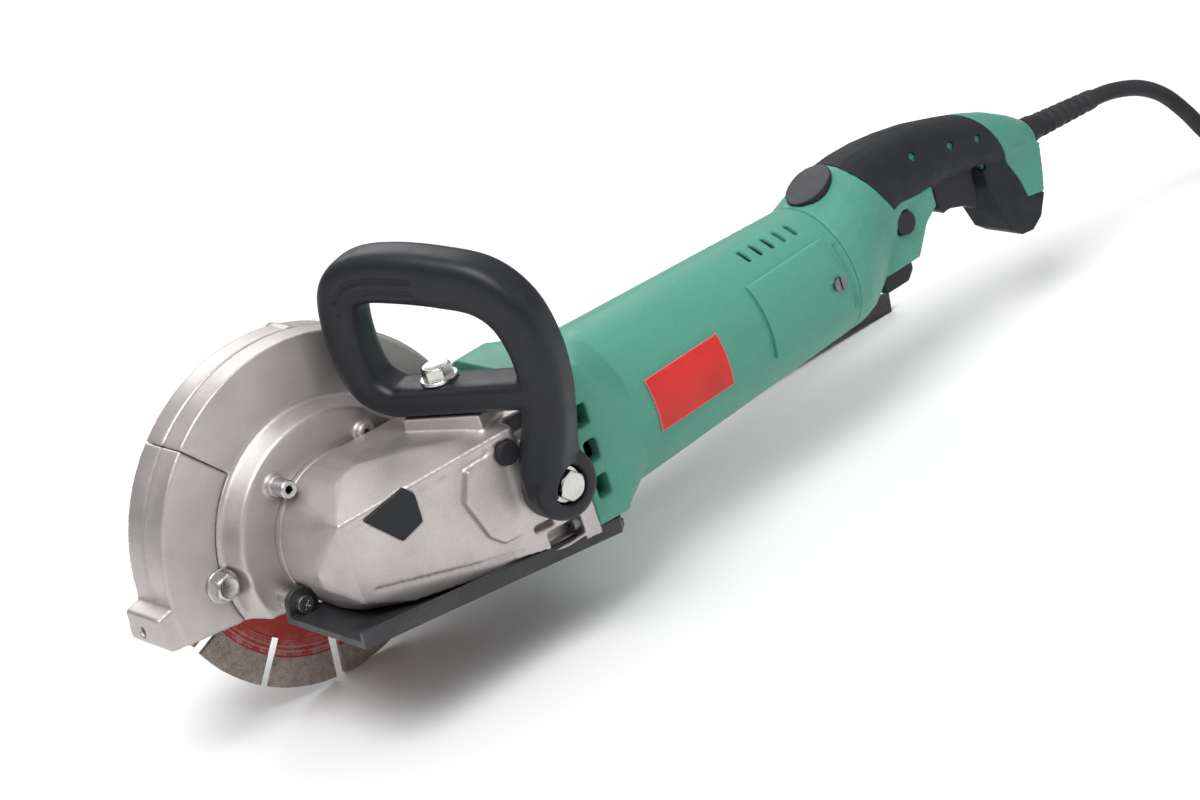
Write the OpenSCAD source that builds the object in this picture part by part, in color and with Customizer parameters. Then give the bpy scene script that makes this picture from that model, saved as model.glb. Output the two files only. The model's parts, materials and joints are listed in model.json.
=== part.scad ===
// Wall chaser: guarded diamond blade on a bevel gear head, D-shaped front
// handle, in-line motor and rear trigger handle.
// +Z is up, -X is the nose of the guard, -Y is the gear head side.

/* [Blade and guard] */
// blade diameter
blade_d = 150; // [148:0.5:151]
// blade core thickness
core_t = 2.0; // [1.6:0.1:2.2]
// rim segment thickness
seg_t = 2.4; // [2.2:0.1:2.8]
// number of rim segments
seg_n = 12; // [9:1:16]
// outside radius of the guard
guard_r = 82; // [81:0.5:84]
// guard wall thickness
guard_wall = 2.5; // [2:0.1:3]
// outside width of the guard
guard_w = 27; // [26.5:0.1:27.5]

/* [Gear head] */
// distance from the blade plane to the motor axis
motor_off = 60; // [59.5:0.1:60.5]
// crown wheel teeth
crown_z = 37; // [37:1:37]
// pinion teeth
pinion_z = 9; // [9:1:9]
// crown wheel pitch radius
crown_r = 18.5; // [18:0.1:18.5]
// outside radius of the spindle boss
boss_r = 34; // [33:0.5:34.5]

/* [Motor housing] */
// housing radius behind the flange
house_r1 = 38; // [37.5:0.1:38.5]
// housing radius at the rear handle
house_r2 = 31.6; // [31:0.1:32]
// housing wall thickness
house_wall = 3; // [2.5:0.1:3.2]

/* [Handles] */
// turn of the front handle from square across the tool, degrees
d_turn = 23; // [20:0.5:25]
// depth of the front handle along the tool
d_depth = 20; // [18:0.5:22]
// thickness of the soft grip
grip_t = 1.8; // [1.4:0.1:2.2]

/* [Base plate] */
// slope of the base plate against the motor axis, degrees
base_slope = 8; // [7.5:0.1:8.5]
// base plate thickness
base_t = 3; // [2.5:0.1:3]
// height of the base plate's lip
lip_h = 7; // [5:0.5:8]

/* [Hidden] */
$fn = 64;
ay = -motor_off;
blade_r = blade_d / 2;
gy0 = -19;
gy1 = gy0 + guard_w;
gin = guard_r - guard_wall;
base_z = -27;
org = [-175.03, 46.7, 75.45];
cone_k = (house_r1 - house_r2) / 154;
function house_r(x) = house_r1 - (x - 96) * cone_k;

// ---- frames ----
module tool() {
  translate(org) children();
}
// cylinder along +Y from y0 to y1 at (x, z)
module cy(x, z, y0, y1, r, r2 = -1) {
  translate([x, y0, z]) rotate([-90, 0, 0]) cylinder(h = y1 - y0, r1 = r, r2 = r2 < 0 ? r : r2);
}
// cylinder along +X from x0 to x1 at (y, z)
module cx(y, z, x0, x1, r, r2 = -1) {
  translate([x0, y, z]) rotate([0, 90, 0]) cylinder(h = x1 - x0, r1 = r, r2 = r2 < 0 ? r : r2);
}
module box3(a, b) {
  translate(a) cube([b[0] - a[0], b[1] - a[1], b[2] - a[2]]);
}
module tube_y(x, z, y0, y1, ro, ri) {
  difference() {
    cy(x, z, y0, y1, ro);
    cy(x, z, y0 - 1, y1 + 1, ri);
  }
}
module tube_x(y, z, x0, x1, ro, ri) {
  difference() {
    cx(y, z, x0, x1, ro);
    cx(y, z, x0 - 1, x1 + 1, ri);
  }
}
module base_frame() {
  rotate([0, base_slope, 0]) children();
}
module below_base(z) {
  base_frame() box3([-200, -150, z - 120], [200, 60, z]);
}
// frame of the front handle at its side bolt: Z up, X through its depth, Y along its grip
hp = [61, -105, 1];
// place of the front handle's top bolt along its grip
top_bolt_y = 41;
module d_frame() {
  translate(hp) rotate([0, 0, d_turn]) children();
}

// ---- lofted sections along X: [x, top, bottom, half width, squareness] ----
function sec_ring(s, n, d) = [for (i = [0 : n - 1])
    let (a = 360 * i / n, c = cos(a), q = sin(a), e = 2 / s[4], hw = s[3] - d, zc = (s[1] + s[2]) / 2,
    hh = (s[1] - s[2]) / 2 - d) [s[0], ay + hw * sign(c) * pow(abs(c), e),
    zc + hh * sign(q) * pow(abs(q), e)]];
module loft(secs, n = 28, d = 0) {
  m = len(secs);
  pts = [for (s = secs) each sec_ring(s, n, d)];
  polyhedron(points = pts, faces = concat( [[for (i = [0 : n - 1]) i]],
      [[for (i = [n - 1 : -1 : 0]) (m - 1) * n + i]],
      [for (j = [0 : m - 2], i = [0 : n - 1]) let (k = (i + 1) % n)
      each [[j * n + i, (j + 1) * n + i, (j + 1) * n + k], [j * n + i, (j + 1) * n + k, j * n + k]]]));
}

// ---- guard ----
sector_a0 = 131;
sector_a1 = 207;
module ring_sector(a0, a1, r0, r1, y0, y1) {
  rotate([90, 0, 0]) rotate([0, 0, a0]) rotate_extrude(angle = a1 - a0) translate([r0, -y1])
      square([r1 - r0, y1 - y0]);
}
// wedge of the front guard section outside the drum
module sector_region(g = 0) {
  ring_sector(sector_a0 - g, sector_a1, 56 - g, 120, gy0 - 5, gy1 + 5);
}
nose_inset = 0.4;
module nose() {
  base_frame() translate([0, gy1 - nose_inset, 0]) rotate([90, 0, 0])
      linear_extrude(guard_w - 2 * nose_inset) polygon([[-89, -11], [-89, -23], [-82, -29.1],
      [-50, -29.1], [-50, -4], [-66, -5.5], [-80.5, -8]]);
}
module guard_hollow() {
  cy(0, 0, gy0 + guard_wall, gy1 - guard_wall, gin);
  below_base(base_z + 0.5);
}
// places given as (x, z)
boss_at = [[-24, 32], [24, 32]];
bolt_at = [-57.4, 0.7];
ear_at = [-34, -20];
rail_screw_at = [[-42, -20.7], [60, -20.7]];
// bearing of the cover screws round the blade, and their distance from it
cover_screw_angles = [20, 75];
cover_screw_r = 78.66;
function cover_screw_at(a) = cover_screw_r * [cos(a), sin(a)];
module guard_main() tool() color("silver") difference() {
  union() {
    difference() {
      cy(0, 0, gy0, -5.2, guard_r);
      cy(0, 0, gy0 + guard_wall, 0, gin);
      sector_region(0.2);
    }
    cy(0, 0, -29, gy0, 50, 54);
    cy(0, 0, gy0, gy0 + guard_wall, 54);
    // tongue behind the front section for its bolt
    intersection() {
      cy(bolt_at[0], bolt_at[1], -16.5, -12.5, 9.5);
      cy(0, 0, -17, -12, 70);
    }
    difference() {
      cy(0, 0, -16.5, -12.5, 55);
      cy(0, 0, -17, -12, 46);
    }
    for (p = boss_at) cy(p[0], p[1], -33, -29, 4.6);
  }
  cy(0, 0, -25, -12, 46);
  cy(0, 0, -34, -10, 24.05);
  cy(boss_at[0][0], boss_at[0][1], -40, -20, 3.05);
  cy(boss_at[1][0], boss_at[1][1], -40, -26, 1.6);
  cy(bolt_at[0], bolt_at[1], -20, -10, 3.05);
  cy(bolt_at[0], bolt_at[1], -40, gy0, 8.2);
  base_frame() cy(ear_at[0], ear_at[1], -30, -24.5, 2.05);
  below_base(base_z + 0.5);
}
module guard_front() tool() color("silver") difference() {
  union() {
    ring_sector(sector_a0, sector_a1, 54, guard_r, gy0, gy1);
    nose();
  }
  cy(0, 0, gy0 - 6, gy1 + 6, 56);
  guard_hollow();
  cy(bolt_at[0], bolt_at[1], -20, -10, 3.3);
  base_frame() cx(-3, -19, -92, -82, 2.1);
}
module guard_cover() tool() color("silver") difference() {
  union() {
    difference() {
      cy(0, 0, -5, gy1, guard_r);
      cy(0, 0, -6, gy1 - guard_wall, gin);
      sector_region(0.2);
      cy(0, 0, gy1 - guard_wall - 1, gy1 + 1, 14);
    }
    difference() {
      cy(0, 0, gy1 - 0.01, 17, 16.5);
      cy(0, 0, 0, 14.5, 14);
    }
    for (a = cover_screw_angles) cy(cover_screw_at(a)[0], cover_screw_at(a)[1], -5, gy1, 4);
  }
  for (a = cover_screw_angles) cy(cover_screw_at(a)[0], cover_screw_at(a)[1], -6, gy1 + 1, 2.05);
  cy(0, 0, -6, gy1 - guard_wall, 77.0);
  base_frame() for (p = rail_screw_at) cy(p[0], p[1], 4, 9, 1.65);
  below_base(base_z + 0.5);
}
module guard_screws() tool() color("dimgray") for (a = cover_screw_angles) {
  cy(cover_screw_at(a)[0], cover_screw_at(a)[1], -4.9, gy1, 2);
  cy(cover_screw_at(a)[0], cover_screw_at(a)[1], gy1, gy1 + 2.4, 3.6);
}
module guard_bolt() tool() color("gainsboro") {
  cy(bolt_at[0], bolt_at[1], -20.6, -12, 3);
  translate([bolt_at[0], -25.4, bolt_at[1]]) rotate([-90, 30, 0]) cylinder(h = 4.8, r = 6, $fn = 6);
}
module guard_washer() tool() color("gainsboro") tube_y(bolt_at[0], bolt_at[1], -20.6, -19, 7.5, 3.1);
module drum_tube() tool() color("silver") tube_y(boss_at[0][0], boss_at[0][1], -41, -21, 3, 1.7);

// ---- gear head ----
// room for the base plate's lip
module lip_way() {
  base_frame() box3([-45, -96, -30], [110, -91.4, -19.6]);
}
module case_form() {
  hull() {
    cy(0, 0, -58, -33, boss_r, $fn = 32);
    // front edge of the slanting near face
    box3([-29, -78, -12], [-26, -76, 24]);
    box3([-8, -82.5, -21], [40, -76, -12]);
    box3([60, -98, -30], [78, -34, 30.5]);
  }
  // raised pad between the near face and the handle's boss
  translate([0, -80, 0]) rotate([90, 0, 0]) linear_extrude(14.5)
      polygon([[22, 10], [27, 22], [60, 26], [62, -16], [34, -15], [28, -9]]);
  box3([70, -98, -34], [78, -22, 34]);
  // seat of the front handle's bar
  d_frame() box3([-9, 22, 20], [9, 60, 37.3]);
}
// plane of the slanting near face, with X along it and Z out of it
face_turn = atan(20 / 89);
module near_face() {
  translate([-29, -78, 0]) rotate([0, 0, -face_turn]) rotate([90, 0, 0]) children();
}
// outline of the plate on the near face
inset_pts = [[11.0, 21.5], [31.0, 27.5], [35.0, 22.5], [34.5, 10.0], [24.0, 6.0]];
plug_at = [47, 21];
case_screw_y = 32.5;
case_screw_z = [-24.5, 27];
module gear_case() tool() color("silver") difference() {
  case_form();
  cy(0, 0, -59, -32, 20.3);
  cy(0, 0, -70, -55, 14);
  cy(0, 0, -77, -69, 8);
  cx(ay, 0, 0, 45, 10);
  cx(ay, 0, 44, 54, 16);
  cx(ay, 0, 53.9, 79, 28);
  near_face() translate([0, 0, -0.9]) linear_extrude(3) polygon(inset_pts);
  cy(plug_at[0], plug_at[1], -99, -86, 5);
  for (s = [-1, 1], z = case_screw_z) cx(ay + s * case_screw_y, z, 64, 79, 2.05);
  // notches for the heads of the near flange screws
  for (z = case_screw_z) box3([53, -99, z - 4.3], [70, -88.2, z + 4.5]);
  // blind slot under the handle's boss
  box3([48, -99, -18], [57, -91, -15]);
  d_frame() translate([0, top_bolt_y, 22]) cylinder(h = 20, r = 4.05);
  cy(hp[0], hp[2], -99, -88, 4.05);
  below_base(-22);
  lip_way();
  base_frame() cy(ear_at[0], ear_at[1], -45, -30, 7.7);
}
module gear_inset() tool() color([0.1, 0.1, 0.1]) near_face() translate([0, 0, -0.9])
    linear_extrude(1.8) polygon(inset_pts);
module grease_plug() tool() color([0.1, 0.1, 0.1]) cy(plug_at[0], plug_at[1], -97.6, -89, 4.98);
module case_screws() tool() color("dimgray") for (s = [-1, 1], z = case_screw_z) {
  cx(ay + s * case_screw_y, z, 70, 83.5, 2);
  cx(ay + s * case_screw_y, z, 66.5, 70, 3.8);
}
module bearing_box() tool() color("silver") difference() {
  union() {
    cy(0, 0, -33, -14.5, 24);
    cy(0, 0, -33, -29, 33.8);
  }
  cy(0, 0, -34, -22, 17.5);
  cy(0, 0, -23, -14, 12.5);
  for (p = boss_at) cy(p[0], p[1], -34, -28, 5.2);
}
module spindle_bearing() tool() color("lightsteelblue") tube_y(0, 0, -33, -22, 17.5, 7.55);
module spindle_bush() tool() color("lightsteelblue") tube_y(0, 0, -77, -71, 8, 5.05);
module oil_seal() tool() color([0.12, 0.12, 0.12]) tube_y(0, 0, -21.4, -15.5, 12.5, 10.06);

// ---- spindle, gears and blade ----
module spindle() tool() color("lightgray") {
  cy(0, 0, -7, 13, 7);
  cy(0, 0, -21.6, -7, 10);
  cy(0, 0, -56, -21.6, 7.5);
  cy(0, 0, -76.5, -56, 5);
}
pd = atan(pinion_z / crown_z);
cone_l = crown_r / cos(pd);
mod = 2 * crown_r / crown_z;
inner_s = 0.66;
// one bevel tooth on a cone of half angle d, axis +Z, at azimuth 0
function tooth_pt(d, l, h, t) = let (q = l / cone_l) [l * sin(d) + h * q * cos(d), t * q,
    l * cos(d) - h * q * sin(d)];
module tooth(d) {
  ht = 0.72 * mod;
  hb = -1.25 * mod;
  tt = 0.09 * PI * mod;
  tb = 0.25 * PI * mod;
  p = [for (l = [cone_l * inner_s, cone_l]) each [tooth_pt(d, l, hb, -tb), tooth_pt(d, l, hb, tb),
      tooth_pt(d, l, ht, tt), tooth_pt(d, l, ht, -tt)]];
  polyhedron(points = p, faces = [[3, 2, 1, 0], [4, 5, 6, 7], [1, 5, 4, 0], [2, 6, 5, 1], [3, 7, 6, 2],
      [0, 4, 7, 3]]);
}
module crown_gear() tool() color("gray") translate([0, ay, 0]) rotate([-90, 0, 0]) {
  rb = tooth_pt(90 - pd, cone_l, -1.1 * mod, 0);
  ra = inner_s * rb;
  difference() {
    union() {
      for (i = [0 : crown_z - 1]) rotate([0, 0, (i + 0.5) * 360 / crown_z]) tooth(90 - pd);
      translate([0, 0, ra[2]]) cylinder(h = rb[2] - ra[2], r1 = ra[0], r2 = rb[0]);
      translate([0, 0, rb[2]]) cylinder(h = 14 - rb[2], r = 19.4);
      translate([0, 0, ra[2]]) cylinder(h = 26.6 - ra[2], r = 10.5);
    }
    translate([0, 0, -1]) cylinder(h = 30, r = 7.5);
  }
}
module pinion() tool() color("gray") translate([0, ay, 0]) rotate([0, 90, 0]) {
  rb = tooth_pt(pd, cone_l, -1.1 * mod, 0);
  ra = inner_s * rb;
  difference() {
    union() {
      rotate([0, 0, 90]) for (i = [0 : pinion_z - 1]) rotate([0, 0, i * 360 / pinion_z]) tooth(pd);
      translate([0, 0, ra[2]]) cylinder(h = rb[2] - ra[2], r1 = ra[0], r2 = rb[0]);
      translate([0, 0, rb[2] - 1]) cylinder(h = 32 - rb[2], r = rb[0]);
      translate([0, 0, 24]) cylinder(h = 15, r = 7.5);
    }
    translate([0, 0, 31]) cylinder(h = 9, r = 4);
  }
}
module inner_flange() tool() color("dimgray") difference() {
  union() {
    cy(0, 0, -7, -core_t / 2, 21);
    cy(0, 0, -core_t / 2, core_t / 2 - 0.2, 11);
  }
  cy(0, 0, -8, 2, 7);
}
module outer_flange() tool() color("dimgray") tube_y(0, 0, core_t / 2, 4.5, 21, 7);
module flange_nut() tool() color("silver") difference() {
  translate([0, 4.5, 0]) rotate([-90, 0, 0]) cylinder(h = 7.5, r = 12.5, $fn = 6);
  cy(0, 0, 4, 14, 7);
}
slot_w = 4.6;
module blade_core() tool() color("firebrick") difference() {
  cy(0, 0, -core_t / 2, core_t / 2, 62, $fn = 96);
  cy(0, 0, -2, 2, 11);
  for (i = [0 : seg_n - 1]) rotate([0, i * 360 / seg_n + 8, 0])
      box3([54, -3, -slot_w / 2], [70, 3, slot_w / 2]);
}
module blade_segments() tool() color("tan") difference() {
  tube_y(0, 0, -seg_t / 2, seg_t / 2, blade_r, 62, $fn = 96);
  for (i = [0 : seg_n - 1]) rotate([0, i * 360 / seg_n + 8, 0])
      box3([56, -3, -slot_w / 2], [80, 3, slot_w / 2]);
}

// ---- motor ----
module flange_2d(r = 9) {
  // rounded rectangle in (z, y) around the motor axis
  translate([-38 + r, -38.5]) square([72 - 2 * r, 77]);
  translate([-38, -38.5 + r]) square([72, 77 - 2 * r]);
  for (s = [-1, 1], t = [-38 + r, 34 - r]) translate([t, s * (38.5 - r)]) circle(r);
}
cover_screw_x = 237;
cover_screw_z = 4.5;
module motor_housing() tool() color("mediumseagreen") difference() {
  union() {
    translate([78, ay, 0]) rotate([0, 90, 0]) linear_extrude(18) flange_2d();
    hull() {
      translate([94, ay, 0]) rotate([0, 90, 0]) linear_extrude(1) flange_2d(9.3, $fn = 32);
      cx(ay, 0, 115, 116, house_r(116) - 1, $fn = 32);
    }
    cx(ay, 0, 96, 250, house_r(96), house_r2);
  }
  cx(ay, 0, 77, 98, 31.5);
  cx(ay, 0, 97.9, 226, house_r(98) - house_wall, house_r(226) - house_wall);
  cx(ay, 0, 225, 229, 9);
  cx(ay, 0, 228, 236, 11);
  cx(ay, 0, 235, 240, 8);
  cx(ay, 0, 237, 251, house_r2 - house_wall);
  for (i = [0 : 5]) translate([220, ay, 0]) rotate([i * 60 + 30, 0, 0]) translate([0, 19, 0])
      rotate([0, 90, 0]) cylinder(h = 30, r = 5.5);
  // cooling windows in the flange
  for (s = [-1, 1]) for (z = [-14.5, 2, 18.5]) box3([81.5, ay + s * 34 - 8, z - 5],
      [88.5, ay + s * 34 + 8, z + 5]);
  // holes for the flange screws
  for (s = [-1, 1], z = case_screw_z) cx(ay + s * case_screw_y, z, 77, 85, 2.05);
  // rear cooling slots
  for (s = [-1, 1]) for (i = [0 : 4]) for (a = [24, 156]) translate([207 + i * 7.2, ay, 0])
      rotate([s * a, 0, 0]) box3([-1, -4.5, 24], [1, 4.5, 40]);
  lip_way();
  // brush windows
  box3([203, ay - 45, -6.5], [219, ay + 45, 6.5]);
  for (s = [-1, 1]) cy(cover_screw_x, cover_screw_z, ay + (s > 0 ? 20 : -50), ay + (s > 0 ? 50 : -20),
      1.6);
}
module shell_band(x0, x1, z0, z1, y0, y1, t0, t1) {
  intersection() {
    difference() {
      cx(ay, 0, x0, x1, house_r(x0) + t1, house_r(x1) + t1);
      cx(ay, 0, x0, x1, house_r(x0) + t0, house_r(x1) + t0);
    }
    box3([x0, y0, z0], [x1, y1, z1]);
  }
}
module label_plate() tool() color("firebrick") shell_band(123, 167, -9, 15, -120, -75, 0.05, 0.8);
module brush_covers() tool() color("mediumseagreen") for (s = [-1, 1]) difference() {
  shell_band(194, 242, -11, 23, s < 0 ? -120 : ay + 15, s < 0 ? ay - 15 : 20, 0.05, 1.8);
  cy(cover_screw_x, cover_screw_z, ay + (s > 0 ? 20 : -50), ay + (s > 0 ? 50 : -20), 1.9);
}
module brush_cover_screws() tool() color("dimgray") for (s = [-1, 1]) {
  cy(cover_screw_x, cover_screw_z, ay + (s > 0 ? 27 : -34), ay + (s > 0 ? 34 : -27), 1.55);
  cy(cover_screw_x, cover_screw_z, ay + (s > 0 ? 34 : -35.6), ay + (s > 0 ? 35.6 : -34), 3.4);
}
module fan_baffle() tool() color([0.15, 0.15, 0.15])
    tube_x(ay, 0, 99.5, 102, house_r(102) - house_wall - 0.05, 24);
module field_core() tool() color("slategray") tube_x(ay, 0, 118, 178, 31.4, 22);
module field_coils() tool() color("peru") {
  tube_x(ay, 0, 107, 118, 30, 22.5);
  tube_x(ay, 0, 178, 190, 29, 22.5);
}
module front_bearing() tool() color("lightsteelblue") tube_x(ay, 0, 44, 54, 16, 6.05);
module rear_bearing() tool() color("lightsteelblue") tube_x(ay, 0, 228, 236, 11, 4.05);
module brush_holders() tool() color("goldenrod") for (s = [-1, 1]) translate([0, ay, 0])
    scale([1, s, 1]) difference() {
  box3([205, 16, -6], [217, 29.5, 6]);
  box3([207.5, 15, -4], [214.5, 28, 4]);
}
module brushes() tool() color([0.2, 0.2, 0.2]) for (s = [-1, 1]) translate([0, ay, 0]) scale([1, s, 1])
    box3([207.6, 14.4, -3.9], [214.4, 22, 3.9]);
module brush_springs() tool() color("silver") for (s = [-1, 1]) translate([0, ay, 0]) scale([1, s, 1])
    difference() {
  cy(211, 0, 22, 28, 3);
  cy(211, 0, 21, 29, 2);
}
module armature_shaft() tool() color("lightgray") {
  cx(ay, 0, 31, 40, 4);
  cx(ay, 0, 40, 226, 6);
  cx(ay, 0, 226, 238, 4);
}
module armature_core() tool() color("slategray") tube_x(ay, 0, 118, 178, 21.4, 6);
module armature_windings() tool() color("peru") {
  tube_x(ay, 0, 107, 118, 19, 6);
  tube_x(ay, 0, 178, 196, 18, 6);
}
module commutator() tool() color("peru") tube_x(ay, 0, 199, 222, 14, 6);
module fan() tool() color([0.15, 0.15, 0.15]) difference() {
  union() {
    cx(ay, 0, 94.5, 97, 29);
    cx(ay, 0, 84, 97, 10);
    for (i = [0 : 8]) translate([0, ay, 0]) rotate([i * 40, 0, 0]) box3([84, 8, -0.9], [95, 28.5, 0.9]);
  }
  cx(ay, 0, 80, 100, 6);
}

// ---- rear handle ----
// sections of the handle
handle_secs = [[250, 31.6, -31.6, 31.6, 2], [258, 34.5, -31, 31, 2.1], [266, 38, -29, 28.5, 2.2],
    [275, 41, -23, 25, 2.3], [285, 42.3, -12, 21, 2.4], [298, 42, -2, 18.5, 2.5],
    [312, 40.3, 4, 17.3, 2.5], [328, 37.2, 7, 17, 2.5], [346, 32, 4, 17, 2.5],
    [360, 27.5, 0, 16.5, 2.5], [372, 22.8, -4, 15, 2.4], [383, 16.5, -7, 12.5, 2.2],
    [392, 10, -6, 8.5, 2]];
in_secs = [for (s = handle_secs) if (s[0] > 260) s];
// pommel outline (x, z)
pommel_pts = [[352, 8], [353, -6], [356, -20], [360, -31], [366, -36], [373, -37], [380, -33],
    [385, -24], [388, -12], [390, 0], [380, 10]];
pommel_mid = [371, -13.5];
pommel_size = [38, 47];
// the outline drawn in by g on each side
function pommel_outline(g) = [for (p = pommel_pts)
    [for (i = [0, 1]) pommel_mid[i] + (p[i] - pommel_mid[i]) * (1 - 2 * g / pommel_size[i])]];
module pommel(g) {
  translate([0, ay + 12.5 - g, 0]) rotate([90, 0, 0]) linear_extrude(25 - 2 * g)
      polygon(pommel_outline(g));
}
// region covered by the soft grip
module grip_region() {
  translate([0, ay + 60, 0]) rotate([90, 0, 0]) linear_extrude(120)
      polygon([[273, 60], [276, 38], [284, 24], [291, 12], [294, -4], [300, -45], [400, -45],
      [400, -25], [375, -21], [373, -12], [368, -1], [363, 14], [355, 31], [352, 60]]);
}
// centre of the lock button (x, z)
lock_at = [296, 4];
// collar round the lock button, left out of the grip
module collar_way() {
  hull() {
    cy(lock_at[0] - 1, lock_at[1] - 1, -95, ay, 11.5);
    cy(lock_at[0] + 11, lock_at[1] - 3, -95, ay, 11.5);
  }
}
module soft_region() {
  difference() {
    grip_region();
    collar_way();
  }
}
// straight block that carries the lock button
module button_block() {
  translate([0, ay + 15, 0]) rotate([90, 0, 0]) linear_extrude(30)
      polygon([[279, -15.5], [301, -15.5], [310, -3], [318, 2], [318, 12], [279, 12]]);
}
module handle_outer() {
  loft(handle_secs);
  pommel(0);
  button_block();
}
module handle_core() {
  loft(handle_secs, d = grip_t);
  pommel(grip_t);
  button_block();
}
module handle_hollow() {
  loft(in_secs, d = grip_t + 2.6);
  cx(ay, 0, 249, 262, 26);
  cx(ay, 2, 250, 290, 12);
  box3([283, ay - 11.5, -10.5], [301.5, ay + 11.5, 14]);
}
module shell_both() difference() {
  union() {
    difference() {
      union() {
        difference() {
          handle_outer();
          soft_region();
        }
        intersection() {
          handle_core();
          soft_region();
        }
      }
      handle_hollow();
    }
    intersection() {
      cheeks();
      handle_core();
    }
    lock_rib();
  }
  cy(tp[0], tp[1], ay - 10.4, ay + 10.4, 1.55);
  trigger_way();
  cy(lock_at[0], lock_at[1], -80, -70, 5.85);
  translate([392, ay, 3]) rotate([0, 95, 0]) translate([0, 0, -14]) cylinder(h = 30, r = 4.6);
  for (p = shell_screw_at) {
    cy(p[0], p[1], -71, -30, 1.85);
    cy(p[0], p[1], -52, -25, 3.6);
  }
  under_way();
}
shell_screw_at = [[270, -12], [318, 26], [374, -25]];
module trigger_way() {
  box3([322.5, ay - 8.8, -20], [352.5, ay + 8.8, 16]);
}
module under_way() {
  box3([281, ay - 10, -15], [296.5, ay + 10, -12]);
  box3([278.5, ay - 12.1, -40], [298.5, ay + 12.1, -14]);
}
// cheeks that hold the trigger's pins
module cheeks() {
  for (s = [-1, 1]) translate([0, ay + s * 11, 0]) box3([345.8, -2.2, 3], [354.5, 2.2, 12]);
}
module lock_rib() {
  box3([291, ay - 2, -12], [301, ay, 13]);
}
module shell_near() tool() color("mediumseagreen") intersection() {
  shell_both();
  box3([240, -120, -60], [420, ay, 60]);
}
module shell_far() tool() color("mediumseagreen") intersection() {
  shell_both();
  box3([240, ay, -60], [420, 20, 60]);
}
module shell_screws() tool() color("dimgray") for (p = shell_screw_at) {
  cy(p[0], p[1], -70, -52, 1.8);
  cy(p[0], p[1], -52, -49, 3.5);
}
module grip() tool() color([0.13, 0.13, 0.14]) difference() {
  intersection() {
    handle_outer();
    soft_region();
  }
  handle_core();
  trigger_way();
  cheeks();
  box3([278, ay - 15.5, -20], [318.5, ay + 15.5, 12]);
  // three windows in the grip
  for (x = [311, 334, 351]) translate([x, ay, 20.8 - (x - 311) * 0.24]) rotate([60, 0, 0])
      cylinder(h = 40, r = 2.2, $fn = 6);
  for (p = shell_screw_at) cy(p[0], p[1], -52, -25, 3.6);
}
module top_pad() tool() color([0.13, 0.13, 0.14]) difference() {
  intersection() {
    translate([0, ay + 14, 0]) rotate([90, 0, 0]) linear_extrude(28)
        polygon([[248, 26], [250.5, 32.9], [258, 36.1], [266, 39.7], [275, 43], [276, 26]]);
    translate([262, ay, 20]) cylinder(h = 40, r = 11.3);
  }
  loft(handle_secs);
}
module under_block() tool() color([0.13, 0.13, 0.14]) {
  difference() {
    box3([279, ay - 12, -24.5], [298, ay + 12, -14]);
    translate([298, 0, -24.5]) rotate([0, 45, 0]) cube([6, 200, 6], center = true);
  }
  box3([281.3, ay - 9.7, -14], [296.2, ay + 9.7, -12.2]);
}
// trigger outline (x, z); it turns about tp
tp = [350, 9];
module trigger() tool() color([0.13, 0.13, 0.14]) difference() {
  union() {
    translate([0, ay + 8.2, 0]) rotate([90, 0, 0]) linear_extrude(16.4)
        polygon([[324, 10.5], [324.5, -4], [327, -7], [331, -6.5], [340, -9.5], [346, -13.5],
        [349, -11], [349.5, 3], [350, 4.2], [344, 11], [334, 11.5]]);
    cy(tp[0], tp[1], ay - 8.2, ay + 8.2, 2.0);
    cy(tp[0], tp[1], ay - 10.1, ay + 10.1, 1.5);
    translate([0, ay + 8.2, 0]) rotate([90, 0, 0]) linear_extrude(16.4)
        polygon([[344, 11], [349, 9.7], [351.7, 7], [350, 4], [344, 4]]);
  }
}
module trigger_spring() tool() color("silver") difference() {
  translate([332, ay, 11.6]) cylinder(h = 6.2, r = 3.2);
  translate([332, ay, 11]) cylinder(h = 8, r = 2.4);
}
module switch_body() tool() color([0.2, 0.2, 0.22]) box3([322, ay - 8, 17.8], [346, ay + 8, 24.6]);
module lock_button() tool() color([0.1, 0.1, 0.1]) {
  cy(lock_at[0], lock_at[1], -78, -71.3, 5.5);
  cy(lock_at[0], lock_at[1], -71.3, -66, 3);
}
module lock_button_spring() tool() color("silver") tube_y(lock_at[0], lock_at[1], -71, -62, 4.4, 3.6);

// ---- front handle ----
// centre line of the loop (along, up)
d_path = [[-2.5, 10], [-9, 44], [-10, 62], [-6, 78], [4, 90], [18, 95], [44, 101], [61, 101.5],
    [72, 95], [77, 82], [77, 62], [72, 50]];
d_wide = [19, 20, 20, 21, 23, 24, 24, 22, 19, 18, 18, 18];
module stroke(a, b, w, v) {
  l = norm(b - a);
  translate(a) rotate(atan2(b[1] - a[1], b[0] - a[0]))
      polygon([[0, -w / 2], [l, -v / 2], [l, v / 2], [0, w / 2]]);
  translate(a) circle(w / 2 + 0.08);
  translate(b) circle(v / 2 + 0.08);
}
module d_handle() tool() color([0.13, 0.13, 0.14]) difference() {
  union() {
    d_frame() translate([-d_depth / 2, 0, 0]) rotate([90, 0, 90]) linear_extrude(d_depth) {
      for (i = [0 : len(d_path) - 2]) stroke(d_path[i], d_path[i + 1], d_wide[i], d_wide[i + 1]);
      translate([-9, 37.5]) square([80, 13.5]);
    }
    cy(hp[0], hp[2], -112, -98, 15.5);
  }
  cy(hp[0], hp[2], -125, -107, 8.6);
  cy(hp[0], hp[2], -120, -90, 4.3);
  d_frame() translate([0, top_bolt_y, 25]) cylinder(h = 30, r = 4.3);
  // keep the arm clear of the gear head
  box3([30, -98, -20], [80, -40, 37.4]);
}
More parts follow.
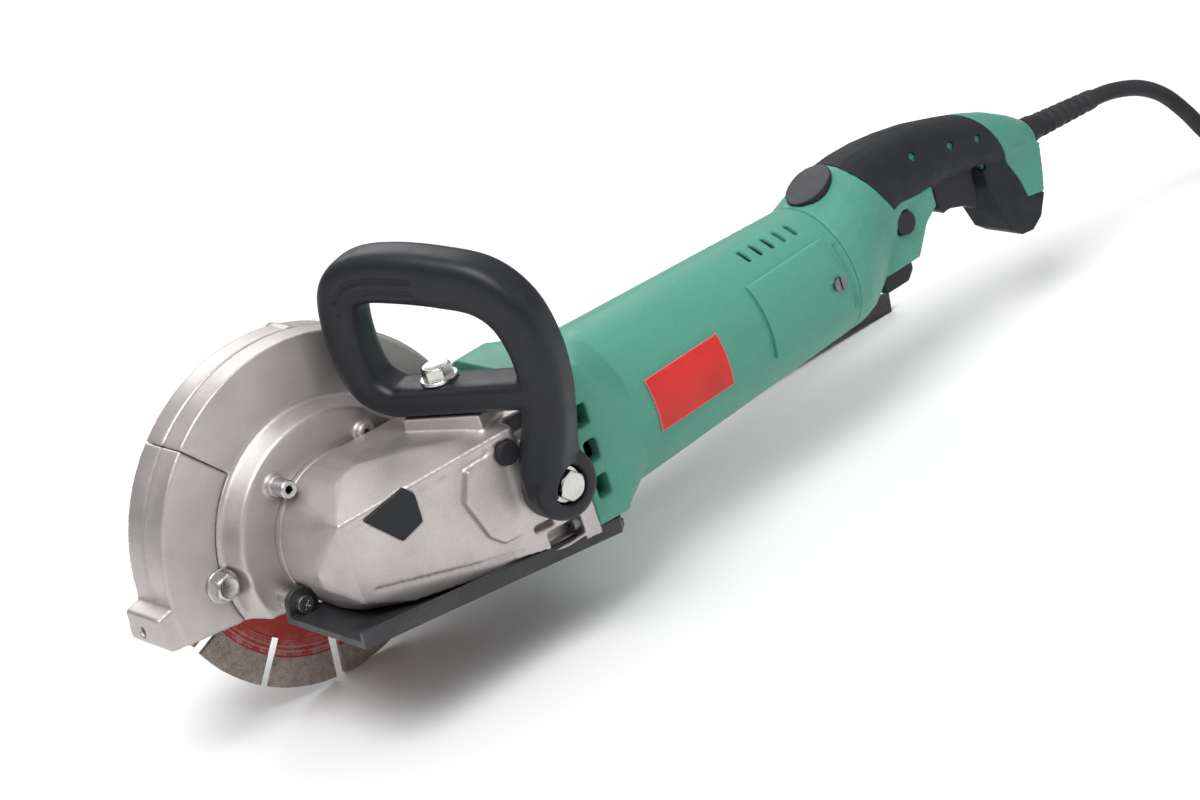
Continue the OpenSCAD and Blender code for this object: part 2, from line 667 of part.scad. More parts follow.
module d_handle_bolts() tool() color("gainsboro") {
  // side bolt and its washer
  cy(hp[0], hp[2], -113, -89, 4);
  tube_y(hp[0], hp[2], -108.6, -107, 8, 4);
  difference() {
    translate([hp[0], -114, hp[2]]) rotate([-90, 0, 0]) cylinder(h = 5.4, r = 6.8, $fn = 6);
    cy(hp[0], hp[2], -113, -107, 4);
  }
  // top bolt and its washer
  d_frame() translate([0, top_bolt_y, 0]) {
    translate([0, 0, 22]) cylinder(h = 35, r = 4);
    difference() {
      translate([0, 0, 51]) cylinder(h = 1.6, r = 8.2);
      translate([0, 0, 40]) cylinder(h = 14, r = 4);
    }
    difference() {
      translate([0, 0, 52.6]) cylinder(h = 5.2, r = 6.8, $fn = 6);
      translate([0, 0, 40]) cylinder(h = 17, r = 4);
    }
  }
}

// ---- base plate ----
module base_plate() tool() base_frame() color([0.12, 0.12, 0.12]) difference() {
  union() {
    box3([-41, -95, base_z], [100, -38, base_z + base_t]);
    box3([80.5, -39, base_z], [100, 34, base_z + base_t]);
    box3([-60, gy1, base_z], [350, 34, base_z + base_t]);
    box3([-60, gy1, base_z], [350, gy1 + base_t, base_z + 9.5]);
    box3([-41, -95, base_z], [96, -92, base_z + lip_h]);
    hull() {
      cy(ear_at[0], ear_at[1], -41, -38, 7, $fn = 32);
      box3([-41, -41, base_z], [-25, -38, base_z + 1]);
    }
  }
  cy(ear_at[0], ear_at[1], -42, -37, 2.3);
  for (p = rail_screw_at) cy(p[0], p[1], 7, 12, 1.9);
  translate([100, -95, -30]) rotate([0, 0, 45]) cube([9, 9, 20], center = true);
  translate([350, 34, -30]) rotate([0, 0, 45]) cube([14, 14, 20], center = true);
}
module base_screws() tool() color("silver") base_frame() {
  // near ear: screw and the spacer tube behind the ear
  cy(ear_at[0], ear_at[1], -41, -25, 2);
  cy(ear_at[0], ear_at[1], -44, -41, 3.8);
  difference() {
    cy(ear_at[0], ear_at[1], -38, -29, 4.6);
    cy(ear_at[0], ear_at[1], -39, -28, 2);
  }
  // rail screws
  for (p = rail_screw_at) {
    cy(p[0], p[1], 5.6, gy1 + base_t, 1.6);
    cy(p[0], p[1], gy1 + base_t, gy1 + base_t + 2.4, 3.1);
  }
}

// ---- cord ----
module cord_guard() tool() color([0.1, 0.1, 0.1]) translate([392, ay, 3]) rotate([0, 95, 0]) {
  difference() {
    union() {
      translate([0, 0, -4]) cylinder(h = 8, r = 4.6);
      translate([0, 0, 1.2]) cylinder(h = 48, r1 = 6, r2 = 4.4);
    }
    translate([0, 0, -6]) cylinder(h = 60, r = 4);
  }
}
cord_r = 3.95;
cord_pts = [[389.5, -60, 3.2], [415, -60, 1], [441, -60, -1.3], [456, -60, -4], [472, -60, -10],
    [486, -60, -20], [497, -61, -34], [507, -62, -50], [520, -64, -63.5], [536, -66.5, -70.3],
    [552, -69, -71.4], [566, -70, -71.4]];
function cr(p0, p1, p2, p3, t) = 0.5 * ((2 * p1) + (p2 - p0) * t + (2 * p0 - 5 * p1 + 4 * p2 - p3) * t
    * t + (3 * p1 - p0 - 3 * p2 + p3) * t * t * t);
function at(l, i) = l[max(0, min(len(l) - 1, i))];
function smooth(l, k) = [for (i = [0 : len(l) - 2], j = [0 : k - 1])
    cr(at(l, i - 1), l[i], l[i + 1], at(l, i + 2), j / k), at(l, len(l) - 1)];
function unit(v) = v / norm(v);
module sweep(path, r, n = 10) {
  m = len(path);
  pts = [for (i = [0 : m - 1]) let (t = unit(at(path, i + 1) - at(path, i - 1)),
      s = unit(cross([0.05, 1, 0.02], t)), u = cross(t, s)) for (k = [0 : n - 1])
      path[i] + r * (cos(360 * k / n) * s + sin(360 * k / n) * u)];
  polyhedron(points = pts, faces = concat([[for (k = [n - 1 : -1 : 0]) k]],
      [[for (k = [0 : n - 1]) (m - 1) * n + k]],
      [for (i = [0 : m - 2], k = [0 : n - 1]) let (q = (k + 1) % n)
      each [[i * n + k, i * n + q, (i + 1) * n + q], [i * n + k, (i + 1) * n + q, (i + 1) * n + k]]]));
}
coil_at = [565, -127, -75.4];
module cord() tool() color([0.1, 0.1, 0.1]) {
  sweep(smooth(cord_pts, 3), cord_r);
  sweep(smooth(tail_pts, 3), cord_r);
}
tail_pts = [[564, -184, -62.7], [548, -184.4, -64], [530, -185.4, -67.5], [514, -186, -68.2],
    [500, -186, -67.4]];
module cord_coil() tool() color([0.1, 0.1, 0.1]) translate(coil_at) rotate_extrude() translate([29, 0])
    square([32, 16.8]);
mains_plug_at = [0, -186, -67.4];
module plug() tool() color([0.1, 0.1, 0.1]) translate(mains_plug_at) difference() {
  union() {
    translate([470, -12, -8]) cube([22, 24, 16]);
    cx(0, 0, 491, 508, 7.5, 5.4);
  }
  cx(0, 0, 499.9, 510, 4);
}
module plug_pins() tool() color("silver") translate(mains_plug_at) for (s = [-1, 1])
    translate([453, s * 6.35 - 0.75, -3.15]) cube([17, 1.5, 6.3]);

guard_main();
guard_front();
guard_cover();
guard_screws();
guard_bolt();
guard_washer();
drum_tube();
gear_case();
gear_inset();
grease_plug();
case_screws();
bearing_box();
spindle_bearing();
spindle_bush();
oil_seal();
spindle();
crown_gear();
inner_flange();
outer_flange();
flange_nut();
blade_core();
blade_segments();
motor_housing();
label_plate();
fan_baffle();
field_core();
field_coils();
front_bearing();
rear_bearing();
brush_holders();
brushes();
brush_springs();
brush_covers();
brush_cover_screws();
armature_shaft();
pinion();
armature_core();
armature_windings();
commutator();
fan();
shell_near();
shell_far();
shell_screws();
grip();
top_pad();
under_block();
trigger();
trigger_spring();
switch_body();
lock_button();
lock_button_spring();
d_handle();
d_handle_bolts();
base_plate();
base_screws();
cord_guard();
cord();
cord_coil();
plug();
plug_pins();
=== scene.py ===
"""Looks of the wall chaser: cord, rounded castings and mouldings, fasteners, materials and studio."""
import json
import math

import bmesh
import bpy
from mathutils import Matrix, Vector

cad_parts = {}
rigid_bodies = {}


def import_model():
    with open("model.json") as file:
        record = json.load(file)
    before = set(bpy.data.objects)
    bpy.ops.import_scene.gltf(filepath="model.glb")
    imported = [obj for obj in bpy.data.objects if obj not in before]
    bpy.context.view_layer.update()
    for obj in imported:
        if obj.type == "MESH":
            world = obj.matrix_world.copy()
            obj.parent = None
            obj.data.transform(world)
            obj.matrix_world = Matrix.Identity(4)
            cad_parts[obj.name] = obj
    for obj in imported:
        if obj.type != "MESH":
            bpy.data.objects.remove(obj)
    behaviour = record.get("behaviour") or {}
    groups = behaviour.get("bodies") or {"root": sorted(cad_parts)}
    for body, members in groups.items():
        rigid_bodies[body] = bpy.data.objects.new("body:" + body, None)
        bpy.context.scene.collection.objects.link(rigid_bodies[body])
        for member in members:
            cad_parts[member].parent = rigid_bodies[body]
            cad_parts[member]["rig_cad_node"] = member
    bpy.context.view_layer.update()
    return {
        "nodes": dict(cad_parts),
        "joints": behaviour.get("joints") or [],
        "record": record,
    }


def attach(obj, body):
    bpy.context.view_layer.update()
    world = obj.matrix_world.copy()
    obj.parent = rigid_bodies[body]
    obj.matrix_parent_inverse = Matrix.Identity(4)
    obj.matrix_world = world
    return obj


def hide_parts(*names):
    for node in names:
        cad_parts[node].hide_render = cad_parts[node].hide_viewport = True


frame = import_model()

# ---------------------------------------------------------------- places
MM = 0.001
JOINTS = {j["name"]: j for j in frame["joints"]}
SPINDLE = Vector(JOINTS["blade_spin"]["pos_m"])
MOTOR_Y = -60.0                                          # motor axis, mm from the blade plane
BASE_SLOPE = math.radians(8)                             # base plate against the motor axis
HANDLE_PIVOT = Vector((61, -105, 1))                     # middle of the front handle's boss, mm
HANDLE_TURN = Matrix.Rotation(math.radians(23), 3, "Z")  # lean of the front handle
TO_X = Vector((1, 0, 0))                                 # along the motor, to the rear handle
TO_NEAR = Vector((0, -1, 0))                             # to the gear head's side
UP = Vector((0, 0, 1))


def at(x, y, z):
    """A point given in mm from the spindle's axis in the blade plane."""
    return SPINDLE + Vector((x, y, z)) * MM


def at_handle(x, y, z):
    """A point in the front handle's own frame, in mm: x through its depth, y along its grip."""
    return SPINDLE + (HANDLE_PIVOT + HANDLE_TURN @ Vector((x, y, z))) * MM


def at_base(x, y, z):
    """A point in the base plate's sloping frame, in mm."""
    return at(x * math.cos(BASE_SLOPE) + z * math.sin(BASE_SLOPE), y,
              z * math.cos(BASE_SLOPE) - x * math.sin(BASE_SLOPE))


def at_guard_bolt(y):
    """A point on the guard bolt's axis, in mm."""
    return at(-57.4, y, 0.7)


def at_side_bolt(y):
    """A point on the axis of the front handle's boss, in mm."""
    return at(HANDLE_PIVOT.x, y, HANDLE_PIVOT.z)


def at_top_bolt(z):
    """A point on the axis of the front handle's top bolt, in mm in the handle's frame."""
    return at_handle(0, 41, z)


# ---------------------------------------------------------------- camera
SENSOR, LENS = 36, 105.1                                 # mm
CAMERA_AT = (-639.7, -1221.9, 577.3)
CAMERA_RIGHT = Vector((0.7318, -0.6199, -0.2833))        # direction of the picture's right side
CAMERA_BACK = Vector((-0.5062, -0.7727, 0.3831))         # direction from the tool to the camera


def make_camera():
    data = bpy.data.cameras.new("camera")
    data.sensor_width = SENSOR
    data.lens = LENS
    data.clip_start, data.clip_end = 0.05, 20
    camera = bpy.data.objects.new("camera", data)
    bpy.context.scene.collection.objects.link(camera)
    back = CAMERA_BACK.normalized()
    up = back.cross(CAMERA_RIGHT.normalized()).normalized()
    turn = Matrix((up.cross(back), up, back)).transposed().to_4x4()
    camera.matrix_world = Matrix.Translation(at(*CAMERA_AT)) @ turn
    bpy.context.scene.camera = camera


# ---------------------------------------------------------------- mesh helpers
WELD = 1e-6              # points closer than this, in metres, become one


def link(name, mesh, body="chassis", smooth=True):
    obj = bpy.data.objects.new(name, mesh)
    bpy.context.scene.collection.objects.link(obj)
    for face in mesh.polygons:
        face.use_smooth = smooth
    if body:
        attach(obj, body)
    return obj


def mesh_from(name, verts, faces):
    mesh = bpy.data.meshes.new(name)
    mesh.from_pydata([tuple(v) for v in verts], [], faces)
    bm = bmesh.new()
    bm.from_mesh(mesh)
    bmesh.ops.recalc_face_normals(bm, faces=bm.faces)
    bm.to_mesh(mesh)
    bm.free()
    return mesh


def circle(sides):
    """Angles at equal steps round a full turn."""
    return [2 * math.pi * k / sides for k in range(sides)]


def squarish(angle, power):
    """The point of a rounded square at an angle; a power of 1 gives a circle."""
    c, s = math.cos(angle), math.sin(angle)
    return math.copysign(abs(c) ** power, c), math.copysign(abs(s) ** power, s)


def ease(t):
    """Goes from 0 to 1 with a soft start and a soft end."""
    t = min(max(t, 0), 1)
    return t * t * (3 - 2 * t)


def loop_mesh(name, rings, closed=False):
    """A skin over rings of points; open ends are capped."""
    n = len(rings[0])
    verts = [p for ring in rings for p in ring]
    spans = len(rings) if closed else len(rings) - 1
    faces = []
    for i in range(spans):
        j = (i + 1) % len(rings)
        for k in range(n):
            m = (k + 1) % n
            faces.append((i * n + k, i * n + m, j * n + m, j * n + k))
    if not closed:
        faces.append(tuple(range(n)))
        faces.append(tuple(reversed(range((len(rings) - 1) * n, len(rings) * n))))
    return mesh_from(name, verts, faces)


def smooth_path(points, steps):
    """Catmull-Rom points through the given ones."""
    out = []
    last = len(points) - 1
    for i in range(last):
        p = [points[max(i - 1, 0)], points[i], points[i + 1], points[min(i + 2, last)]]
        for k in range(steps):
            t = k / steps
            square = (2 * p[0] - 5 * p[1] + 4 * p[2] - p[3]) * t * t
            cube = (3 * p[1] - p[0] - 3 * p[2] + p[3]) * t ** 3
            out.append(0.5 * (2 * p[1] + (p[2] - p[0]) * t + square + cube))
    out.append(points[last])
    return out


def tube_mesh(name, path, radius, sides=12, side=UP):
    """A round rod along a path, which never runs along side."""
    rings = []
    for i, p in enumerate(path):
        t = (path[min(i + 1, len(path) - 1)] - path[max(i - 1, 0)]).normalized()
        u = t.cross(side).normalized()
        v = t.cross(u)
        rings.append([p + (u * math.cos(a) + v * math.sin(a)) * radius for a in circle(sides)])
    return loop_mesh(name, rings)


def modifier(obj, kind, **values):
    mod = obj.modifiers.new(kind.lower(), kind)
    for key, value in values.items():
        setattr(mod, key, value)
    return mod


def apply_all(obj):
    """Applies the modifiers to the mesh."""
    graph = bpy.context.evaluated_depsgraph_get()
    new = bpy.data.meshes.new_from_object(obj.evaluated_get(graph))
    obj.modifiers.clear()
    obj.data = new
    return obj


def cut(obj, mesh):
    """Takes a shape out of an object."""
    tool = link("tool_" + mesh.name, mesh, None)
    modifier(obj, "BOOLEAN", operation="DIFFERENCE", object=tool, solver="EXACT")
    apply_all(obj)
    bpy.data.objects.remove(tool, do_unlink=True)


def block(name, middle, sides):
    """A box round a point; sides holds its half sides as vectors, in mm."""
    ends = (-1, 1)
    corners = [middle + (sides[0] * i + sides[1] * j + sides[2] * k) * MM
               for i in ends for j in ends for k in ends]
    faces = [(0, 1, 3, 2), (4, 6, 7, 5), (0, 4, 5, 1), (2, 3, 7, 6), (0, 2, 6, 4), (1, 5, 7, 3)]
    return mesh_from(name, corners, faces)


def turned(name, base, axis, profile, sides=48, flats=0.0):
    """A solid turned from (height, radius) in mm; flats cuts it to a hexagon of that half width."""
    u = axis.orthogonal().normalized()
    v = axis.cross(u)
    sixth = math.pi / 3
    rings = []
    for height, radius in profile:
        ring = []
        for a in circle(sides):
            limit = flats / math.cos((a + sixth / 2) % sixth - sixth / 2) if flats else radius
            out = (u * math.cos(a) + v * math.sin(a)) * min(radius, limit)
            ring.append(base + (axis * height + out) * MM)
        rings.append(ring)
    return loop_mesh(name, rings)


def joined(name, meshes):
    """One mesh made of several."""
    bm = bmesh.new()
    for mesh in meshes:
        bm.from_mesh(mesh)
    out = bpy.data.meshes.new(name)
    bm.to_mesh(out)
    bm.free()
    return out


def copy_of(node, name):
    """A new object with a CAD node's welded mesh."""
    obj = link(name, frame["nodes"][node].data.copy(), None)
    obj.data.materials.clear()
    modifier(obj, "WELD", merge_threshold=WELD)
    apply_all(obj)
    return obj


def stand_in(obj, node, body="chassis", smooth=True):
    """Shows an object in a CAD node's place."""
    for face in obj.data.polygons:
        face.use_smooth = smooth
    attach(obj, body)
    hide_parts(node)
    return obj


def smoothed(obj, voxel, passes):
    """Rebuilds a mesh in even voxels of so many mm and rounds its edges."""
    modifier(obj, "REMESH", mode="VOXEL", voxel_size=voxel * MM)
    modifier(obj, "SMOOTH", factor=0.5, iterations=passes)
    apply_all(obj)


def rounded(node, name, voxel, passes, body="chassis", cutters=()):
    """A copy of a CAD node with its edges softened, which stands for the node."""
    obj = copy_of(node, name)
    for cutter in cutters:
        cut(obj, cutter)
    smoothed(obj, voxel, passes)
    return stand_in(obj, node, body)


def soften(node, width):
    """Bevelled edges on a CAD node that is shown as it is."""
    obj = frame["nodes"][node]
    modifier(obj, "WELD", merge_threshold=WELD)
    modifier(obj, "BEVEL", width=width * MM, segments=2, limit_method="ANGLE", angle_limit=math.radians(30))


# ---------------------------------------------------------------- cord
CORD_R = 3.95
# from the pommel to the coil, and from the coil to the plug
STUB = [(389.5, -60, 3.2), (415, -60, 1), (441, -60, -1.3), (456, -60, -4), (472, -60, -10), (486, -60, -20),
        (497, -61, -34), (507, -62, -50), (520, -64, -63.5), (536, -66.5, -70.3), (552, -69, -71.4)]
TAIL = [(548, -184.4, -64), (530, -185.4, -67.5), (514, -186, -68.2), (500, -186, -67.4)]
COIL_AT = (565, -127)
COIL_OUT, COIL_IN = 57.0, 33.0
LAYER_LOW, LAYER_HIGH = -70.6, -62.6     # heights of the cord's centre in the two layers
LAYER_TURNS = 4.25
CLIMB_TURNS = 0.9                        # what it takes to climb from one layer to the other
TIE_WIDTH, TIE_REACH = 9.0, 17.2         # across the strap, and from the bundle's middle to its side
TIE_LOW, TIE_HIGH = -74.95, -58.2


def coil_point(turn):
    """Centre of the cord after so many turns: inwards in the low layer, outwards in the high one."""
    angle = math.pi / 2 - 2 * math.pi * turn
    pitch = (COIL_OUT - COIL_IN) / LAYER_TURNS
    radius = COIL_IN + pitch * abs(turn - LAYER_TURNS)
    z = LAYER_LOW + (LAYER_HIGH - LAYER_LOW) * ease((turn - LAYER_TURNS) / CLIMB_TURNS + 0.5)
    return Vector((COIL_AT[0] + radius * math.cos(angle), COIL_AT[1] + radius * math.sin(angle), z))


def make_cord():
    steps = 32           # to a turn
    coil = [coil_point(i / steps) for i in range(int(2 * LAYER_TURNS * steps) + 1)]
    stub = smooth_path([Vector(p) for p in STUB] + [coil[0]], 6)
    tail = smooth_path([coil[-1]] + [Vector(p) for p in TAIL], 6)
    points = [at(*p) for p in stub + coil[1:] + tail[1:]]
    cord = link("mains_cord", tube_mesh("mains_cord", points, CORD_R * MM, sides=16))
    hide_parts("cord", "cord_coil")
    return cord, points


def make_tie():
    """A flat strap round the coil's bundle."""
    middle = Vector((COIL_AT[0] + (COIL_OUT + COIL_IN) / 2, COIL_AT[1], (TIE_LOW + TIE_HIGH) / 2))
    half = TIE_WIDTH / 2
    rounding = 0.4
    rings = []
    for y, inset in ((-half, 0.25), (rounding - half, 0), (half - rounding, 0), (half, 0.25)):
        ring = []
        for c, s in (squarish(a, 0.45) for a in circle(40)):
            ring.append(at(*(middle + Vector((c * (TIE_REACH - inset), y,
                                              s * ((TIE_HIGH - TIE_LOW) / 2 - inset))))))
        rings.append(ring)
    inside = [[p.lerp(at(*middle), 0.045) for p in ring] for ring in (rings[3], rings[0])]
    return link("cord_tie", loop_mesh("cord_tie", rings + inside, closed=True))


def make_strain_relief():
    """Tapered ribbed sleeve where the cord leaves the pommel."""
    lean = math.radians(95)
    along = Vector((math.sin(lean), 0, math.cos(lean)))
    start = Vector((392, MOTOR_Y, 3))
    bore, rib_step, ribs = 4.02, 5.2, 7
    profile = [(1.2, bore), (1.2, 6.4), (6, 6.4), (7, 5.9)]
    for i in range(ribs):
        s = 9 + i * rib_step
        r = 5.9 - 0.16 * i
        profile += [(s, r), (s + 0.6, r - 0.7), (s + 2.2, r - 0.75), (s + 2.8, r - 0.05)]
    profile += [(47, 4.75), (48.4, 4.5), (48.9, bore)]
    across = Vector((0, 1, 0))
    side = along.cross(across)
    rings = []
    for s, r in profile:
        rings.append([at(*(start + along * s + (across * math.cos(a) + side * math.sin(a)) * r))
                      for a in circle(28)])
    sleeve = link("cord_sleeve", loop_mesh("cord_sleeve", rings, closed=True))
    modifier(sleeve, "BEVEL", width=0.2 * MM, segments=2, limit_method="ANGLE")
    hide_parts("cord_guard")
    return sleeve


# ---------------------------------------------------------------- front handle
# the bar's centre line, as x, y and the bar's width
GRIP_PATH = [(2.5, -1, 20), (1, 13, 21), (-4.5, 29, 20.5), (-9, 47, 20), (-9.5, 64, 20.5), (-5, 80, 22),
             (6, 91, 23.5), (24, 96.5, 24), (44, 100, 24), (61, 100.5, 22.5), (72, 95, 20),
             (76.5, 82, 18.5), (77, 64, 18), (73, 51, 17), (63, 44.6, 14.5), (52, 44.3, 13.5)]
GRIP_DEPTH, BOSS_DEPTH = 20, 29
BOSS_REACH = 34          # height over which the bar deepens towards the boss


def grip_sweep():
    """Squarish bar bent round the hand, swept in the handle's own frame and deeper at the boss."""
    line = smooth_path([Vector(p) for p in GRIP_PATH], 8)
    rings = []
    for i, p in enumerate(line):
        t = line[min(i + 1, len(line) - 1)] - line[max(i - 1, 0)]
        t = Vector((t.x, t.y)).normalized()
        near_boss = ease((BOSS_REACH - p.y) / BOSS_REACH) if i < len(line) / 2 else 0
        depth = GRIP_DEPTH + (BOSS_DEPTH - GRIP_DEPTH) * near_boss
        ring = []
        for c, s in (squarish(a, 0.62) for a in circle(40)):
            across = c * p.z / 2
            ring.append(at_handle(s * depth / 2, p.x - t.y * across, p.y + t.x * across))
        rings.append(ring)
    return loop_mesh("grip_sweep", rings)


def cross_bar():
    """The handle's straight bar over the gear head, rounded at both ends."""
    rings = []
    for y, inset in ((-8, 3), (-6, 0.6), (-3, 0), (58, 0), (62, 0.6), (64, 3)):
        rings.append([at_handle(c * (10 - inset), y, 44.25 + s * (6.75 - inset * 0.6))
                      for c, s in (squarish(a, 0.5) for a in circle(32))])
    return loop_mesh("bar", rings)


def grip_groove(below):
    """A finger groove along the grip's front face, so many mm below its centre line."""
    line = [Vector((x, y, 0)) for x, y in ((33, 98.5), (44, 100), (56, 100.8), (66, 98.5), (73, 92))]
    path = [at_handle(-10.3, p.x, p.y - below) for p in smooth_path(line, 5)]
    return tube_mesh("grip_groove", path, 1.25 * MM)


def make_front_handle():
    boss = turned("boss", at_side_bolt(-98), TO_NEAR,
                  [(0, 15.4), (10.5, 15.4), (12.6, 14.8), (13.7, 13.4), (14, 11.5)])
    obj = link("front_handle_moulding", joined("front_handle", [grip_sweep(), cross_bar(), boss]), None)
    modifier(obj, "REMESH", mode="VOXEL", voxel_size=0.7 * MM)
    apply_all(obj)
    hole = 4.3
    seat_sides = [Vector(side) for side in ((25, 0, 0), (0, 29, 0), (0, 0, 28.7))]
    cutters = [turned("recess", at_side_bolt(-125), -TO_NEAR, [(0, 8.6), (18, 8.6)]),
               turned("side_hole", at_side_bolt(-110), -TO_NEAR, [(0, hole), (20, hole)]),
               tube_mesh("top_hole", [at_top_bolt(30), at_top_bolt(60)], hole * MM, side=TO_X),
               block("seat", at(55, -69, 8.7), seat_sides), grip_groove(-1.0), grip_groove(4.6)]
    for cutter in cutters:
        cut(obj, cutter)
    smoothed(obj, 0.6, 5)
    return stand_in(obj, "d_handle")


# ---------------------------------------------------------------- fasteners
def hex_head(name, base, axis, flats, height):
    """A bolt head with its chamfer and a shallow dish on top."""
    corner = flats / math.cos(math.pi / 6)
    profile = [(0, corner), (height - 1.5, corner)]
    profile += [(height - 1.5 + 0.3 * i, corner - 0.05 * i * i - 0.02 * i) for i in range(1, 6)]
    profile += [(height, flats - 1.0), (height - 0.35, flats - 1.9), (height - 0.4, 0.4)]
    return turned(name, base, axis, profile, sides=72, flats=flats)


def washer(name, base, axis, radius, height):
    profile = [(0, radius - 0.2), (0.25, radius), (height - 0.3, radius), (height, radius - 0.35)]
    return turned(name, base, axis, profile)


def shank(name, base, axis, radius, length):
    return turned(name, base, axis, [(0, radius), (length, radius)], sides=24)


def fastener(name, node, meshes):
    obj = link(name, joined(name, meshes))
    modifier(obj, "EDGE_SPLIT", split_angle=math.radians(28))
    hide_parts(node)
    return obj


def driver_slots(node, name, heads, length, width, depth, cross=True):
    """A copy of a node's screws with driver slots cut in their heads, and softened edges."""
    obj = copy_of(node, name)
    for place, axis in heads:
        u = axis.orthogonal().normalized()
        v = axis.cross(u)
        for along in (u, v) if cross else ((u + v).normalized(),):
            sides = (along * (length / 2), axis.cross(along) * (width / 2), axis * depth)
            cut(obj, block("slot", place, sides))
    modifier(obj, "BEVEL", width=0.35 * MM, segments=2, limit_method="ANGLE", angle_limit=math.radians(40))
    return stand_in(obj, node, smooth=False)


def drum_tube():
    """Small open tube on the drum's face, with softened ends."""
    base = at(-24, -21, 32)
    bore = 1.7
    profile = [(0, bore), (0, 3.03), (9.5, 3.03), (9.6, 3.9), (19.4, 3.9), (19.9, 3.5), (19.95, 2.2),
               (19.6, bore)]
    rings = []
    for height, radius in profile:
        rings.append([base + (TO_NEAR * height + (TO_X * math.cos(a) + UP * math.sin(a)) * radius) * MM
                      for a in circle(40)])
    return fastener("drum_tube_open", "drum_tube", [loop_mesh("tube", rings, closed=True)])


def screw_heads():
    """Where the screws' heads end and where they face, for each node of screws."""
    cover_ring = 78.66
    flange = [(at(66.5, MOTOR_Y + side * 32.5, z), -TO_X) for side in (-1, 1) for z in (-24.5, 27)]
    brush = [(at(237, MOTOR_Y + side * 35.6, 4.5), Vector((0, side, 0))) for side in (-1, 1)]
    shell = [(at(x, -49, z), -TO_NEAR) for x, z in ((270, -12), (318, 26), (374, -25))]
    base = [(at_base(-34, -44, -20), TO_NEAR)]
    base += [(at_base(x, 13.4, -20.7), -TO_NEAR) for x in (-42, 60)]
    cover = [(at(cover_ring * math.cos(a), 10.4, cover_ring * math.sin(a)), -TO_NEAR)
             for a in map(math.radians, (20, 75))]
    return flange, brush, shell, base, cover


def make_fasteners():
    """The bolts and screws, as (piece, slot)."""
    flange, brush, shell, base, cover = screw_heads()
    guard_bolt = [hex_head("head", at_guard_bolt(-20.6), TO_NEAR, 5.2, 4.8),
                  shank("shank", at_guard_bolt(-12), TO_NEAR, 3, 8.7)]
    guard_washer = [washer("disc", at_guard_bolt(-19), TO_NEAR, 7.5, 1.58)]
    handle_bolts = [hex_head("side_head", at_side_bolt(-108.6), TO_NEAR, 5.9, 5.4),
                    washer("side_washer", at_side_bolt(-107), TO_NEAR, 8, 1.58),
                    shank("side_shank", at_side_bolt(-89), TO_NEAR, 4, 19),
                    hex_head("top_head", at_top_bolt(52.6), UP, 5.9, 5.2),
                    washer("top_washer", at_top_bolt(51), UP, 8.2, 1.58),
                    shank("top_shank", at_top_bolt(22), UP, 4, 30)]
    return [
        (fastener("guard_bolt_hex", "guard_bolt", guard_bolt), "zinc"),
        (fastener("guard_washer_disc", "guard_washer", guard_washer), "zinc"),
        (fastener("handle_bolt_set", "d_handle_bolts", handle_bolts), "zinc"),
        (drum_tube(), "steel"),
        (driver_slots("case_screws", "flange_screws_cross", flange, 4.6, 0.9, 1.6), "screw"),
        (driver_slots("brush_cover_screws", "brush_screws_slotted", brush, 9, 1.1, 1.1, cross=False),
         "screw"),
        (driver_slots("shell_screws", "handle_screws_cross", shell, 4.4, 0.9, 1.6), "screw"),
        (driver_slots("base_screws", "base_screws_cross", base, 4.2, 0.9, 1.5), "zinc"),
        (driver_slots("guard_screws", "guard_screws_cross", cover, 4.4, 0.9, 1.5), "screw"),
    ]


# ---------------------------------------------------------------- casting details
def face_point(x, z):
    """A point on the gear head's slanting near face."""
    return at(x, -78 - (x + 29) * 20 / 89, z)


def casting_lines():
    """Rods along the engraved lines of the gear head's near face."""
    low = [face_point(-23, -8.6), face_point(20, -18.5), face_point(58, -25.5)]
    high = [face_point(-22, 21.2), face_point(46, 25.8)]
    short = [face_point(-19, 18.2), face_point(10, 22.2)]
    return [tube_mesh("low_line", low, 0.7 * MM), tube_mesh("high_line", high, 0.65 * MM),
            tube_mesh("short_line", short, 0.5 * MM)]


def rim_groove():
    """Rod round the front section of the guard, just inside its rim."""
    radius = 82.2
    angles = [math.radians(125 + 2.2 * i) for i in range(40)]
    path = [at(radius * math.cos(a), -5.1, radius * math.sin(a)) for a in angles]
    return tube_mesh("rim_groove", path, 0.75 * MM, side=Vector((0, 1, 0)))


def rear_groove():
    """Rod along the short deep groove round the near side of the housing's rear end."""
    radius = 31.5
    angles = [math.radians(-24 + 4 * i) for i in range(16)]
    path = [at(246.8, MOTOR_Y - radius * math.cos(a), radius * math.sin(a)) for a in angles]
    return tube_mesh("rear_groove", path, 1.35 * MM, side=TO_X)


